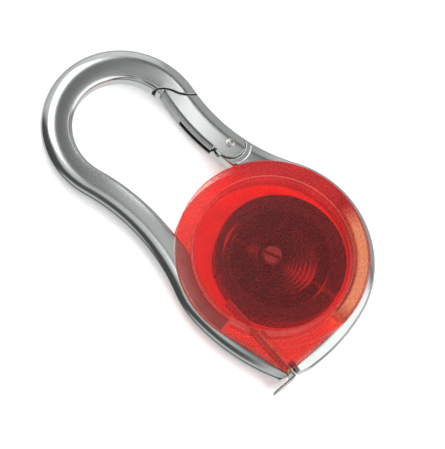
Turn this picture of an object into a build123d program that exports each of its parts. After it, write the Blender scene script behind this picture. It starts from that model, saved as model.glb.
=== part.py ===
from build123d import *
import os
from math import acos, atan2, cos, degrees, hypot, radians, sin, sqrt

# Pocket tape measure: a round translucent tape case held in a cast carabiner frame.
# Millimetres, +Z up.  The origin lies on the case axis, on the back face of the rear cover.
# +Y runs from the case to the hook of the carabiner, and the case lies flat on its back.

os.makedirs("parts", exist_ok=True)

# ---------------------------------------------------------------- driving dimensions
case_radius = 23.0          # flange of both covers
case_height = 7.7           # back face to front face
plate_thickness = 1.0
drum_outer_radius = 19.2
drum_wall = 0.9
cover_edge = 0.35           # rounding of the flanges' outer edges
beak_plate = 1.0
beak_wall = 0.9
beak_fit = 0.08             # gap between the beak and the frame's arms
beak_step = 0.75            # how far the beak lies below the disc's face
beak_corner_reach = 28.8    # where the beak's straight sides would meet
beak_tip_reach = 26.7       # where the beak's tip is cut off, towards the mouth
beak_sector = (186.0, 268.0)  # directions between which the beak reaches out of the drum

frame_thickness = 4.6
outer_edge = 2.1            # rounding round the outside of the frame
inner_edge = 0.6            # rounding round the loop
frame_ring_radius = 24.8    # outside of the frame where it hugs the case
frame_bore_radius = 19.3

hook_centre = (2.2, 46.0)
hook_radius = 19.7
hook_hole_radius = 12.1
spine_neck_radius = 46.5    # concave outer edge between hook and case, spine side
spine_width = 7.1
gate_neck_radius = 41.5     # the same edge on the gate side
gate_width = 7.8

mouth_angle = 225.0         # direction of the frame's pointed end, from the case axis
mouth_corner_reach = 30.4   # where the two arms would meet
arm_bow_radius = 48.0       # the arms' slightly curved outer edges
mouth_face_angle = 243.0    # direction that the cut end of the arms faces
mouth_face_reach = 27.7
mouth_slot_width = 3.2
mouth_room_reach = 3.4
tape_way_width = 2.4
blade_room = 0.15           # above and below the tape

pin_centre = (15.3, 24.7)
pin_radius = 0.95
pin_running_fit = 0.06      # radial clearance of the gate on its pin
gate_end_radius = 3.6
gate_gap = 0.25             # round the gate where it meets the frame
land_radius = 5.1           # shallow step in the frame round the gate's end
land_depth = 0.5
swing_relief_start = 146.0  # the gate's inner corner is cut back from here, to clear the frame
tongue_thickness = 1.6
tongue_gap = 0.15
pin_dish = 0.4              # depth of the hollow over each end of the pin
insert_thickness = 1.0
insert_edge = 0.7           # the strip is this much narrower than the gate on each side
insert_start = 2.5
insert_length = 17.5
spring_room_depth = 3.2
spring_room_length = 12.5
gate_spring_width = 1.2
gate_spring_thickness = 0.3
leaf_root = (12.4, 26.2)
leaf_bend = (13.3, 30.0)
leaf_tip = (14.6, 36.4)

blade_width = 5.0           # 1 m steel tape
blade_thickness = 0.2
pack_centre = (0.7, -1.95)  # the wound tape floats off the arbor
pack_radius = 15.8
tape_coil_inner_radius = 11.9
spring_coil_outer_radius = 11.7
spring_coil_inner_radius = 8.7
arbor_radius = 2.1
arbor_slot = 0.8
arbor_slot_angle = 107.0

mainspring_width = 4.6
open_turns = 6.5            # loose turns between the arbor and the tight spring coil
open_turn_thickness = 0.25
open_turn_steps = 156
coil_rivet_angle = 20.0
coil_rivet_reach = 11.8
coil_rivet_length = 1.6

hook_thickness = 0.4
hook_leg_length = 3.2
hook_tang_length = 6.4
hook_width = 4.4
hook_corner = 2.0
rivet_radius = 0.45
rivet_head_radius = 0.7
rivet_head = 0.3
rivet_setback = 1.7
rivet_spread = 1.3

guide_length = 2.6
guide_setback = 0.3
guide_thickness = 0.8

# ---------------------------------------------------------------- derived sizes
frame_mid = case_height / 2
frame_bottom = frame_mid - frame_thickness / 2
frame_top = frame_mid + frame_thickness / 2
flange_thickness = frame_bottom
cavity_bottom = plate_thickness
cavity_top = case_height - plate_thickness
blade_bottom = frame_mid - blade_width / 2
drum_inner_radius = drum_outer_radius - drum_wall
beak_front = case_height - beak_step
beak_back = beak_step
tongue_bottom = frame_mid - tongue_thickness / 2
fork_gap = tongue_thickness + 2 * tongue_gap


def polar(reach, angle, centre=(0, 0)):
    """Point at a distance and a direction in degrees from a centre."""
    return (centre[0] + reach * cos(radians(angle)), centre[1] + reach * sin(radians(angle)))


def neck_centre(neck_radius, side):
    """Centre of the arc that touches the hook's and the case's outer circles from outside."""
    to_case = frame_ring_radius + neck_radius
    to_hook = hook_radius + neck_radius
    span = hypot(*hook_centre)
    along = (to_case**2 - to_hook**2 + span**2) / (2 * span)
    across = side * sqrt(to_case**2 - along**2)
    ux = hook_centre[0] / span
    uy = hook_centre[1] / span
    return (ux * along - uy * across, uy * along + ux * across)


def hole_centre():
    """Centre of the hook's inside, so that its edge runs smoothly into the spine's edge."""
    dx = hook_centre[0] - spine_neck[0]
    dy = hook_centre[1] - spine_neck[1]
    reach = spine_neck_radius + spine_width + hook_hole_radius
    return (spine_neck[0] + dx / hypot(dx, dy) * reach, spine_neck[1] + dy / hypot(dx, dy) * reach)


def band(centre, outer_edge, width):
    """Curved bar between hook and case: a ring about a neck centre, cut to its sector."""
    with BuildSketch() as bar:
        with Locations(centre):
            Circle(outer_edge + width)
            Circle(outer_edge, mode=Mode.SUBTRACT)
        Polygon(centre, hook_centre, (0, 0), align=None, mode=Mode.INTERSECT)
    return bar.sketch


def bowed_teardrop():
    """The frame's ring with two bowed sides that meet at the mouth."""
    bow_centre_reach = arm_bow_radius - frame_ring_radius
    touch = degrees(acos(
        (arm_bow_radius**2 - mouth_corner_reach**2 - bow_centre_reach**2)
        / (2 * mouth_corner_reach * bow_centre_reach)
    ))
    with BuildSketch() as drop:
        Polygon(
            (0, 0),
            polar(frame_ring_radius, mouth_angle - touch),
            polar(2 * mouth_corner_reach, mouth_angle),
            polar(frame_ring_radius, mouth_angle + touch),
            align=None,
        )
        for side in (-1, 1):
            with Locations(polar(bow_centre_reach, mouth_angle + 180 + side * touch)):
                Circle(arm_bow_radius, mode=Mode.INTERSECT)
        Circle(frame_ring_radius)
    return drop.sketch


def straight_teardrop(radius, corner_reach):
    """A circle with two straight tangents that meet towards the mouth."""
    touch = degrees(acos(radius / corner_reach))
    with BuildSketch() as drop:
        Circle(radius)
        Polygon(
            (0, 0),
            polar(radius, mouth_angle - touch),
            polar(corner_reach, mouth_angle),
            polar(radius, mouth_angle + touch),
            align=None,
        )
    return drop.sketch


def half_plane(reach, angle, size=80):
    """Everything beyond a straight line that faces a direction."""
    with BuildSketch(Plane(polar(reach, angle), x_dir=(*polar(1, angle), 0))) as beyond:
        Rectangle(size, 2 * size, align=(Align.MIN, Align.CENTER))
    return beyond.sketch


spine_neck = neck_centre(spine_neck_radius, 1)
gate_neck = neck_centre(gate_neck_radius, -1)
hook_hole = hole_centre()
gate_inner_radius = gate_neck_radius + gate_width

# The straight run of tape from the side of the wound pack to the mouth
mouth_point = (-19.1, -21.7)
to_pack = (pack_centre[0] - mouth_point[0], pack_centre[1] - mouth_point[1])
blade_offset = pack_radius + 0.3 + blade_thickness / 2
blade_angle = degrees(atan2(to_pack[1], to_pack[0])) + degrees(
    atan2(blade_offset, sqrt(hypot(*to_pack) ** 2 - blade_offset**2))
)
blade_length = sqrt(hypot(*to_pack) ** 2 - blade_offset**2)
blade_plane = Plane(
    origin=(*mouth_point, 0),
    x_dir=(*polar(1, blade_angle), 0),
    z_dir=(0, 0, 1),
)


def open_turn(t):
    """Point on the spring's open inner turns, t from 0 at the arbor to 1 at the tight coil."""
    start = arbor_radius + 0.25
    end = spring_coil_inner_radius - open_turn_thickness / 2
    centre = (pack_centre[0] * t, pack_centre[1] * t)
    return polar(start + (end - start) * t, arbor_slot_angle + 360 * open_turns * t, centre)


# ---------------------------------------------------------------- outlines
# The joint between hook nose and gate is a flat S across the bar
nose_inner = (11.6, 47.1)
nose_bulge = (15.2, 45.5)
nose_middle = (16.7, 42.8)
nose_hollow = (17.6, 40.7)
nose_outer = (23.0, 37.6)

with BuildSketch() as loop_void:
    Polygon((0, 0), gate_neck, hook_hole, spine_neck, align=None)
    with Locations(spine_neck):
        Circle(spine_neck_radius + spine_width, mode=Mode.SUBTRACT)
    with Locations(gate_neck):
        Circle(gate_inner_radius, mode=Mode.SUBTRACT)

with BuildSketch() as carabiner_outline:
    with Locations(hook_centre):
        Circle(hook_radius)
    with Locations(hook_hole):
        Circle(hook_hole_radius, mode=Mode.SUBTRACT)
    add(loop_void.sketch, mode=Mode.SUBTRACT)
    add(band(spine_neck, spine_neck_radius, spine_width))
    add(band(gate_neck, gate_neck_radius, gate_width))
    add(bowed_teardrop())
    add(loop_void.sketch, mode=Mode.SUBTRACT)
    add(half_plane(mouth_face_reach, mouth_face_angle), mode=Mode.SUBTRACT)

# Everything on the gate's side of the S joint, down to the pivot
with BuildSketch() as gate_zone:
    with BuildLine():
        ThreePointArc(nose_inner, nose_bulge, nose_middle)
        ThreePointArc(nose_middle, nose_hollow, nose_outer)
        Polyline(nose_outer, (23.0, pin_centre[1]), (9.0, pin_centre[1]), (9.0, 47.1), nose_inner)
    make_face()

with BuildSketch() as gate_outline:
    with Locations(hook_centre):
        Circle(hook_radius)
    with Locations(hook_hole):
        Circle(hook_hole_radius, mode=Mode.SUBTRACT)
    add(band(gate_neck, gate_neck_radius, gate_width))
    add(loop_void.sketch, mode=Mode.SUBTRACT)
    offset(gate_zone.sketch, amount=-gate_gap, mode=Mode.INTERSECT)
    Polygon(
        pin_centre,
        polar(9, swing_relief_start, pin_centre),
        polar(9, 190, pin_centre),
        align=None,
        mode=Mode.SUBTRACT,
    )
    with Locations(pin_centre):
        Circle(gate_end_radius)

# The wedge-shaped beak of the case between the two straight arms
with BuildSketch() as beak_outline:
    add(straight_teardrop(case_radius - 2 * beak_fit, beak_corner_reach))
    Circle(drum_outer_radius - drum_wall / 2, mode=Mode.SUBTRACT)
    Polygon(
        (0, 0),
        polar(60, beak_sector[0]),
        polar(60, mouth_angle),
        polar(60, beak_sector[1]),
        align=None,
        mode=Mode.INTERSECT,
    )
    add(half_plane(beak_tip_reach, mouth_face_angle), mode=Mode.SUBTRACT)

# The way that the tape takes out of the drum to the mouth, and the wider room at the mouth itself
with BuildSketch(blade_plane) as tape_way:
    with Locations((-8, 0)):
        Rectangle(blade_length + 4, tape_way_width, align=(Align.MIN, Align.CENTER))

with BuildSketch(blade_plane) as mouth_room:
    with Locations((-8, 0)):
        Rectangle(mouth_room_reach + 8, mouth_slot_width + 0.1, align=(Align.MIN, Align.CENTER))

# ---------------------------------------------------------------- carabiner frame
# The casting before the gate is parted from it, with its outer edges well rounded
with BuildPart() as casting:
    with BuildSketch(Plane.XY.offset(frame_bottom)) as casting_plan:
        add(carabiner_outline.sketch)
    extrude(amount=frame_thickness)
    for flat_side in (casting.faces().sort_by(Axis.Z)[0], casting.faces().sort_by(Axis.Z)[-1]):
        fillet(flat_side.outer_wire().edges(), radius=outer_edge)
    for flat_side in (casting.faces().sort_by(Axis.Z)[0], casting.faces().sort_by(Axis.Z)[-1]):
        fillet(flat_side.inner_wires()[0].edges(), radius=inner_edge)

with BuildPart() as carabiner_frame:
    add(casting.part)
    with BuildSketch(Plane.XY.offset(frame_bottom)) as gate_room:
        add(gate_zone.sketch)
        with Locations(pin_centre):
            Circle(gate_end_radius + gate_gap)
    extrude(amount=frame_thickness, mode=Mode.SUBTRACT)
    with BuildSketch(Plane.XY.offset(frame_bottom)) as case_bore:
        Circle(frame_bore_radius)
    extrude(amount=frame_thickness, mode=Mode.SUBTRACT)
    with BuildSketch(Plane.XY.offset(frame_bottom)) as beak_room:
        add(beak_outline.sketch)
    extrude(amount=frame_thickness, mode=Mode.SUBTRACT)
    # Round recess for the gate's end, a shallow land round it, and the tongue that the gate straddles
    for low, high, radius in (
        (frame_bottom, frame_bottom + land_depth, land_radius),
        (frame_top - land_depth, frame_top, land_radius),
    ):
        with BuildSketch(Plane.XY.offset(low)) as land:
            with Locations(pin_centre):
                Circle(radius)
        extrude(amount=high - low, mode=Mode.SUBTRACT)
    with BuildSketch(Plane.XY.offset(tongue_bottom)) as tongue_plan:
        with Locations(pin_centre):
            Circle(gate_end_radius - 0.6)
            Rectangle(2 * (gate_end_radius - 0.6), 2 * gate_end_radius, align=(Align.CENTER, Align.MAX))
        add(carabiner_outline.sketch, mode=Mode.INTERSECT)
    extrude(amount=tongue_thickness)
    with BuildSketch(Plane.XY.offset(frame_bottom)) as pin_hole:
        with Locations(pin_centre):
            Circle(pin_radius)
    extrude(amount=frame_thickness, mode=Mode.SUBTRACT)
    # The gap between the ends of the two arms, which the tape leaves through
    with BuildSketch(blade_plane.offset(frame_bottom)) as mouth_slot:
        with Locations((-6, 0)):
            Rectangle(10, mouth_slot_width, align=(Align.MIN, Align.CENTER))
    extrude(amount=frame_thickness, mode=Mode.SUBTRACT)

# Two castings, which only the case joins: hook with spine and left arm, and pivot with right arm
with BuildPart() as hook_frame:
    add(carabiner_frame.solids().sort_by(SortBy.VOLUME)[-1])
hook_frame.part.label = "hook_frame"
export_step(hook_frame.part, "parts/hook_frame.step")

with BuildPart() as gate_arm:
    add(carabiner_frame.solids().sort_by(SortBy.VOLUME)[0])
gate_arm.part.label = "gate_arm"
export_step(gate_arm.part, "parts/gate_arm.step")

# ---------------------------------------------------------------- gate and its pin
with BuildSketch() as gate_core_line:
    with Locations(gate_neck):
        Circle(gate_inner_radius)
        Circle(gate_inner_radius - spring_room_depth, mode=Mode.SUBTRACT)
    with Locations((pin_centre[0], pin_centre[1] + spring_room_length)):
        Rectangle(30, spring_room_length, align=(Align.CENTER, Align.MAX), mode=Mode.INTERSECT)

with BuildSketch() as insert_band:
    with Locations(gate_neck):
        Circle(gate_inner_radius + 2)
        Circle(gate_inner_radius - insert_thickness, mode=Mode.SUBTRACT)
    with Locations((pin_centre[0], pin_centre[1] + insert_start)):
        Rectangle(30, insert_length, align=(Align.CENTER, Align.MIN), mode=Mode.INTERSECT)

with BuildPart() as gate:
    add(casting.part)
    with BuildSketch(Plane.XY.offset(frame_bottom)) as gate_plan:
        add(gate_outline.sketch)
    extrude(amount=frame_thickness, mode=Mode.INTERSECT)
    # Step for the strip on the inner face
    with BuildSketch(Plane.XY.offset(frame_bottom)) as insert_step:
        add(insert_band.sketch)
    extrude(amount=frame_thickness, mode=Mode.SUBTRACT)
    # Room for the tongue at the pivot and for the spring further up, both open to the loop
    with BuildSketch(Plane.XY.offset(frame_mid - fork_gap / 2)) as fork_room:
        with Locations((pin_centre[0], pin_centre[1] + gate_end_radius)):
            Rectangle(14, 14, align=(Align.CENTER, Align.MAX))
        add(gate_core_line.sketch)
    extrude(amount=fork_gap, mode=Mode.SUBTRACT)
    with BuildSketch(Plane.XY.offset(frame_bottom)) as gate_pin_hole:
        with Locations(pin_centre):
            Circle(pin_radius + pin_running_fit)
    extrude(amount=frame_thickness, mode=Mode.SUBTRACT)
gate.part.label = "gate"
export_step(gate.part, "parts/gate.step")

# Strip let into the inner face of the gate, with a window for the spring
with BuildPart() as gate_insert:
    with BuildSketch(Plane.XY.offset(frame_bottom + insert_edge)) as insert_plan:
        add(insert_band.sketch)
        with Locations(gate_neck):
            Circle(gate_inner_radius, mode=Mode.INTERSECT)
    extrude(amount=frame_thickness - 2 * insert_edge)
    with BuildSketch(Plane.XY.offset(frame_mid - fork_gap / 2)) as insert_window:
        add(gate_core_line.sketch)
    extrude(amount=fork_gap, mode=Mode.SUBTRACT)
gate_insert.part.label = "gate_insert"
export_step(gate_insert.part, "parts/gate_insert.step")

# Solid rivet with its two ends dished
with BuildPart() as gate_pin:
    with BuildSketch(Plane.XY.offset(frame_bottom + pin_dish)) as pin_shank:
        with Locations(pin_centre):
            Circle(pin_radius)
    extrude(amount=frame_thickness - 2 * pin_dish)
gate_pin.part.label = "gate_pin"
export_step(gate_pin.part, "parts/gate_pin.step")

# Leaf spring: held in the frame's tongue, it presses on the far wall of the gate's spring room
with BuildPart() as gate_spring:
    with BuildSketch(Plane.XY.offset(frame_mid - gate_spring_width / 2)) as leaf_plan:
        with BuildLine() as leaf_line:
            Line(leaf_root, leaf_bend)
            Line(leaf_bend, leaf_tip)
        trace(leaf_line.line, gate_spring_thickness)
    extrude(amount=gate_spring_width)
gate_spring.part.label = "gate_spring"
export_step(gate_spring.part, "parts/gate_spring.step")

# ---------------------------------------------------------------- case
with BuildPart() as front_cover:
    with BuildSketch(Plane.XY.offset(frame_top)) as front_flange:
        Circle(case_radius)
    extrude(amount=flange_thickness)
    with BuildSketch(Plane.XY.offset(frame_mid)) as front_drum:
        Circle(drum_outer_radius)
    extrude(amount=frame_top - frame_mid)
    with BuildSketch(Plane.XY.offset(frame_mid)) as front_hollow:
        Circle(drum_inner_radius)
    extrude(amount=cavity_top - frame_mid, mode=Mode.SUBTRACT)
    with BuildSketch(Plane.XY.offset(beak_front - beak_plate)) as front_beak:
        offset(beak_outline.sketch, amount=-beak_fit)
    extrude(amount=beak_plate)
    with BuildSketch(Plane.XY.offset(frame_mid)) as front_beak_wall:
        offset(beak_outline.sketch, amount=-beak_fit)
        offset(beak_outline.sketch, amount=-beak_fit - beak_wall, mode=Mode.SUBTRACT)
    extrude(amount=beak_front - frame_mid)
    with BuildSketch(Plane.XY.offset(frame_mid)) as front_tape_way:
        add(tape_way.sketch)
        add(mouth_room.sketch)
    extrude(amount=blade_width / 2 + blade_room, mode=Mode.SUBTRACT)
    fillet(front_cover.faces().sort_by(Axis.Z)[-1].edges(), radius=cover_edge)
front_cover.part.label = "front_cover"
export_step(front_cover.part, "parts/front_cover.step")

with BuildPart() as rear_cover:
    with BuildSketch() as rear_flange:
        Circle(case_radius)
    extrude(amount=flange_thickness)
    with BuildSketch(Plane.XY.offset(frame_bottom)) as rear_drum:
        Circle(drum_outer_radius)
    extrude(amount=frame_mid - frame_bottom)
    with BuildSketch(Plane.XY.offset(cavity_bottom)) as rear_hollow:
        Circle(drum_inner_radius)
    extrude(amount=frame_mid - cavity_bottom, mode=Mode.SUBTRACT)
    with BuildSketch(Plane.XY.offset(beak_back)) as rear_beak:
        offset(beak_outline.sketch, amount=-beak_fit)
    extrude(amount=beak_plate)
    with BuildSketch(Plane.XY.offset(beak_back)) as rear_beak_wall:
        offset(beak_outline.sketch, amount=-beak_fit)
        offset(beak_outline.sketch, amount=-beak_fit - beak_wall, mode=Mode.SUBTRACT)
    extrude(amount=frame_mid - beak_back)
    with BuildSketch(Plane.XY.offset(blade_bottom - blade_room)) as rear_tape_way:
        add(tape_way.sketch)
        add(mouth_room.sketch)
    extrude(amount=frame_mid, mode=Mode.SUBTRACT)
    # The split arbor that holds the inner end of the spring
    with BuildSketch(Plane.XY.offset(cavity_bottom)) as arbor:
        Circle(arbor_radius)
        Rectangle(3 * arbor_radius, arbor_slot, rotation=arbor_slot_angle, mode=Mode.SUBTRACT)
    extrude(amount=cavity_top - cavity_bottom)
    fillet(rear_cover.faces().sort_by(Axis.Z)[0].edges(), radius=cover_edge)
rear_cover.part.label = "rear_cover"
export_step(rear_cover.part, "parts/rear_cover.step")

# ---------------------------------------------------------------- wound tape and its spring
coil_rivet_plane = Plane(
    origin=(*polar(coil_rivet_reach, coil_rivet_angle, pack_centre), frame_mid),
    z_dir=(*polar(1, coil_rivet_angle), 0),
)


def coil(outer_radius, inner_radius, height):
    """Closed ring in the place of many tight turns, centred on the floating pack."""
    with BuildPart() as ring:
        with BuildSketch(Plane.XY.offset(frame_mid - height / 2)) as ring_plan:
            with Locations(pack_centre):
                Circle(outer_radius)
                Circle(inner_radius, mode=Mode.SUBTRACT)
        extrude(amount=height)
        with BuildSketch(coil_rivet_plane) as rivet_hole:
            Circle(rivet_radius)
        extrude(amount=coil_rivet_length / 2, both=True, mode=Mode.SUBTRACT)
    return ring.part


tape_coil = coil(pack_radius, tape_coil_inner_radius, blade_width)
tape_coil.label = "tape_coil"
export_step(tape_coil, "parts/tape_coil.step")

mainspring = coil(spring_coil_outer_radius, spring_coil_inner_radius, mainspring_width)
mainspring.label = "mainspring"
export_step(mainspring, "parts/mainspring.step")

# Open inner turns of the mainspring, from the slot of the arbor out to the tight coil
with BuildPart() as mainspring_inner_turns:
    with BuildSketch(Plane.XY.offset(frame_mid - mainspring_width / 2)) as inner_turns_plan:
        with BuildLine() as spiral:
            Spline(*[open_turn(step / open_turn_steps) for step in range(open_turn_steps + 1)])
        trace(spiral.line, open_turn_thickness)
    extrude(amount=mainspring_width)
mainspring_inner_turns.part.label = "mainspring_inner_turns"
export_step(mainspring_inner_turns.part, "parts/mainspring_inner_turns.step")

# Rivet that joins the tape's inner end to the spring's outer end
with BuildPart() as coil_rivet:
    with BuildSketch(coil_rivet_plane) as coil_rivet_plan:
        Circle(rivet_radius)
    extrude(amount=coil_rivet_length / 2, both=True)
coil_rivet.part.label = "coil_rivet"
export_step(coil_rivet.part, "parts/coil_rivet.step")

# ---------------------------------------------------------------- tape end
def rivet_row(radius):
    """Circles of the two rivets, seen along them, on the middle of the tape's thickness."""
    along_tape = Plane(
        origin=blade_plane.from_local_coords((rivet_setback, 0, frame_mid)),
        x_dir=blade_plane.x_dir,
        z_dir=blade_plane.y_dir,
    )
    with BuildSketch(along_tape) as row:
        with GridLocations(0, 2 * rivet_spread, 1, 2):
            Circle(radius)
    return row.sketch


with BuildPart() as tape_blade:
    with BuildSketch(blade_plane.offset(blade_bottom)) as blade_plan:
        Rectangle(blade_length, blade_thickness, align=(Align.MIN, Align.CENTER))
    extrude(amount=blade_width)
    extrude(rivet_row(rivet_radius), amount=blade_thickness, both=True, mode=Mode.SUBTRACT)
tape_blade.part.label = "tape_blade"
export_step(tape_blade.part, "parts/tape_blade.step")

# Sheet-metal end hook: a leg riveted along the tape and a tang bent square to it
with BuildPart() as end_hook:
    with BuildSketch(blade_plane.offset(frame_mid - hook_width / 2)) as hook_plan:
        with Locations((-hook_thickness, blade_thickness / 2)):
            Rectangle(hook_leg_length + hook_thickness, hook_thickness, align=(Align.MIN, Align.MIN))
            Rectangle(hook_thickness, hook_tang_length, align=(Align.MIN, Align.MIN))
    extrude(amount=hook_width)
    tang_end = end_hook.faces().sort_by(Axis((0, 0, 0), blade_plane.y_dir))[-1]
    fillet(tang_end.edges().filter_by(Axis((0, 0, 0), blade_plane.x_dir)), radius=hook_corner)
    extrude(rivet_row(rivet_radius), amount=blade_thickness + hook_thickness, mode=Mode.SUBTRACT)
end_hook.part.label = "end_hook"
export_step(end_hook.part, "parts/end_hook.step")

# Two small rivets through leg and tape
with BuildPart() as hook_rivets:
    for sheet, way in ((blade_thickness / 2 + hook_thickness, 1), (blade_thickness / 2, -1)):
        extrude(rivet_row(rivet_radius), amount=way * (sheet + rivet_head))
        heads = rivet_row(rivet_head_radius)
        extrude(heads.moved(Location(blade_plane.y_dir * way * sheet)), amount=way * rivet_head)
hook_rivets.part.label = "hook_rivets"
export_step(hook_rivets.part, "parts/hook_rivets.step")

# Small block beside the tape, between it and the end of the right arm
with BuildPart() as mouth_guide:
    with BuildSketch(blade_plane.offset(frame_bottom)) as guide_plan:
        with Locations((guide_setback, -mouth_slot_width / 2)):
            Rectangle(guide_length, guide_thickness, align=(Align.MIN, Align.MIN))
    extrude(amount=frame_thickness)
mouth_guide.part.label = "mouth_guide"
export_step(mouth_guide.part, "parts/mouth_guide.step")
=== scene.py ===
import math

import bmesh
import bpy
import numpy as np
from mathutils import Matrix, Vector


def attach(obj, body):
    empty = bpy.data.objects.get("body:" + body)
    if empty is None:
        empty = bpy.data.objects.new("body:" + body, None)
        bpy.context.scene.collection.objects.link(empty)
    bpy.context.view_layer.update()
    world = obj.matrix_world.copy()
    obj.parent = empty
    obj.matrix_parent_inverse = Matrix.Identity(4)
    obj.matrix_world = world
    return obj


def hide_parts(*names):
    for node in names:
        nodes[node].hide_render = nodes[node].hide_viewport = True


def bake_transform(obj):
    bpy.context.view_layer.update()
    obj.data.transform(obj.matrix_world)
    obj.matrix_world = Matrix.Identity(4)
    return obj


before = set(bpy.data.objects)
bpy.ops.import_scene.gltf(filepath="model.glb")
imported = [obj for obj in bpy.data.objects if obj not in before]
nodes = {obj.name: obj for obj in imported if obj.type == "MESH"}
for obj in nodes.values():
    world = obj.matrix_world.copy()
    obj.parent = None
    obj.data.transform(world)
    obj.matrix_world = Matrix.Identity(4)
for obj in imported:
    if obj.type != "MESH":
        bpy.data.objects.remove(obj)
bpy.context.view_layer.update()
MM = 0.001


def polar(reach, angle, centre=(0, 0)):
    """Point at a distance and a direction in degrees from a centre."""
    turn = math.radians(angle)
    return Vector((centre[0] + reach * math.cos(turn), centre[1] + reach * math.sin(turn)))


# ---------------------------------------------------------------- camera
# Directions on the floor as the camera sees them: to the right, and away
AWAY_X, AWAY_Y = 0.970, 0.243
RIGHT = Vector((AWAY_Y, -AWAY_X, 0.0))
AWAY = Vector((AWAY_X, AWAY_Y, 0.0))
# The camera's height above the floor, in degrees, and the sine and cosine of its roll
CAMERA_RISE = 68.5
ROLL_SIN, ROLL_COS = 0.437, 0.900
# The point it aims at, and its distance from that point, in metres
CAMERA_AIM = Vector((-1.07, 13.67, 4.0)) * MM
CAMERA_DISTANCE = 0.65
LENS, SENSOR = 223.6, 36.0


def make_camera():
    """Camera high up on the side of the spine, rolled so that the hook lies upper left."""
    rise = math.radians(CAMERA_RISE)
    back = Vector((-AWAY_X * math.cos(rise), -AWAY_Y * math.cos(rise), math.sin(rise)))
    down = Vector((-AWAY_X * math.sin(rise), -AWAY_Y * math.sin(rise), -math.cos(rise)))
    right = ROLL_COS * RIGHT - ROLL_SIN * down
    up = -(ROLL_SIN * RIGHT + ROLL_COS * down)
    data = bpy.data.cameras.new("view")
    data.lens = LENS
    data.sensor_width = SENSOR
    data.clip_start = 0.05
    data.clip_end = 20.0
    cam = bpy.data.objects.new("view", data)
    bpy.context.scene.collection.objects.link(cam)
    turn = Matrix((right, up, back)).transposed()
    cam.matrix_world = Matrix.Translation(CAMERA_AIM + back * CAMERA_DISTANCE) @ turn.to_4x4()
    bpy.context.scene.camera = cam


# ---------------------------------------------------------------- shader nodes
def node(tree, kind, inputs=None, **settings):
    """New shader node. Inputs are sockets to link or values to set."""
    made = tree.nodes.new("ShaderNode" + kind)
    for key, value in settings.items():
        setattr(made, key, value)
    for key, value in (inputs or {}).items():
        if isinstance(value, bpy.types.NodeSocket):
            tree.links.new(value, made.inputs[key])
        else:
            made.inputs[key].default_value = value
    return made


def calc(tree, operation, a, b):
    """Result of a sum on two sockets or values."""
    return node(tree, "Math", {0: a, 1: b}, operation=operation).outputs[0]


def times(tree, a, b):
    """Product of two sockets or values."""
    return calc(tree, "MULTIPLY", a, b)


def vector_calc(tree, operation, output, a, *b):
    """Result of a sum on one vector or two."""
    return node(tree, "VectorMath", dict(enumerate((a, *b))), operation=operation).outputs[output]


def clamped(tree, value, start, end):
    """From zero at one value to one at another."""
    return node(tree, "MapRange", {"Value": value, "From Min": start, "From Max": end}).outputs[0]


def blended(tree, share, a, b):
    """Colour between two, by a share."""
    mix = node(tree, "Mix", {"Factor": share}, data_type="RGBA")
    for socket, value in ((mix.inputs[6], a), (mix.inputs[7], b)):
        if isinstance(value, bpy.types.NodeSocket):
            tree.links.new(value, socket)
        else:
            socket.default_value = value
    return mix.outputs[2]


def principled(name, **values):
    """Material with one Principled shader; the values are set on its own sockets."""
    mat = bpy.data.materials.new(name)
    mat.use_nodes = True
    shader = mat.node_tree.nodes["Principled BSDF"]
    for key, value in values.items():
        shader.inputs[key.replace("_", " ")].default_value = value
    return mat, mat.node_tree, shader


def noise(tree, scale, detail):
    """Noise in the object's own metres."""
    where = node(tree, "TexCoord").outputs["Object"]
    inputs = {"Vector": where, "Scale": scale, "Detail": detail}
    return node(tree, "TexNoise", inputs).outputs["Fac"]


def spread(tree, value, low, high, start=0.35, end=0.65):
    """Map a noise value to a range."""
    return node(tree, "MapRange", {
        "Value": value, "From Min": start, "From Max": end, "To Min": low, "To Max": high,
    }).outputs[0]


def tinted(tree, value, dark, light, start=0.35, end=0.65):
    """Colour between two, driven by a noise value."""
    ramp = node(tree, "ValToRGB", {"Fac": value})
    ramp.color_ramp.elements[0].position = start
    ramp.color_ramp.elements[0].color = (*dark, 1)
    ramp.color_ramp.elements[1].position = end
    ramp.color_ramp.elements[1].color = (*light, 1)
    return ramp.outputs[0]


def raised(tree, height, distance):
    """Bump node for a relief that is so deep, in metres."""
    return node(tree, "Bump", {"Height": height, "Strength": 1.0, "Distance": distance})


# ---------------------------------------------------------------- materials
def grained(name, dark, light, scale, rough, bump, metallic=0.0, edge=0.0, **values):
    """Surface with a fine grain in its colour, roughness and relief; edges may be shaded round."""
    mat, tree, shader = principled(name, Metallic=metallic, **values)
    grain = noise(tree, scale, 3)
    cloud = noise(tree, scale / 12, 2)
    tree.links.new(tinted(tree, cloud, dark, light), shader.inputs["Base Color"])
    tree.links.new(spread(tree, grain, *rough), shader.inputs["Roughness"])
    relief = raised(tree, grain, bump)
    if edge:
        rounded = node(tree, "Bevel", {"Radius": edge}, samples=16).outputs[0]
        tree.links.new(rounded, relief.inputs["Normal"])
    tree.links.new(relief.outputs[0], shader.inputs["Normal"])
    return mat


PLASTIC_IOR = 1.49
# Scale of the fine specks in the red plastic, and of its slow changes of colour, per metre
SPECKS, CLOUDS = 3000, 260
# Distances from the case's axis, in metres, over which a mark on the red plastic comes and goes
PAINTED_GLOW_IN = (0.002, 0.015)
RIM_IN = (0.0188, 0.0194)
DEEP_IN = (0.0165, 0.0180)
WARM_IN, WARM_OUT = (0.0197, 0.0201), (0.0227, 0.0222)
WALL_IN, WALL_OUT = (0.01885, 0.01900), (0.01930, 0.01915)
# Directions round the case, in degrees, where its rim gets a painted orange reflection and where
# it gets painted shade, deeper red.
# Each fades in between two cosines of the angle to that direction.
WARM_SIDE, WARM_COSINES = -58, (0.72, 0.90)
DEEP_SIDE, DEEP_COSINES = 25, (0.55, 0.92)
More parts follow.
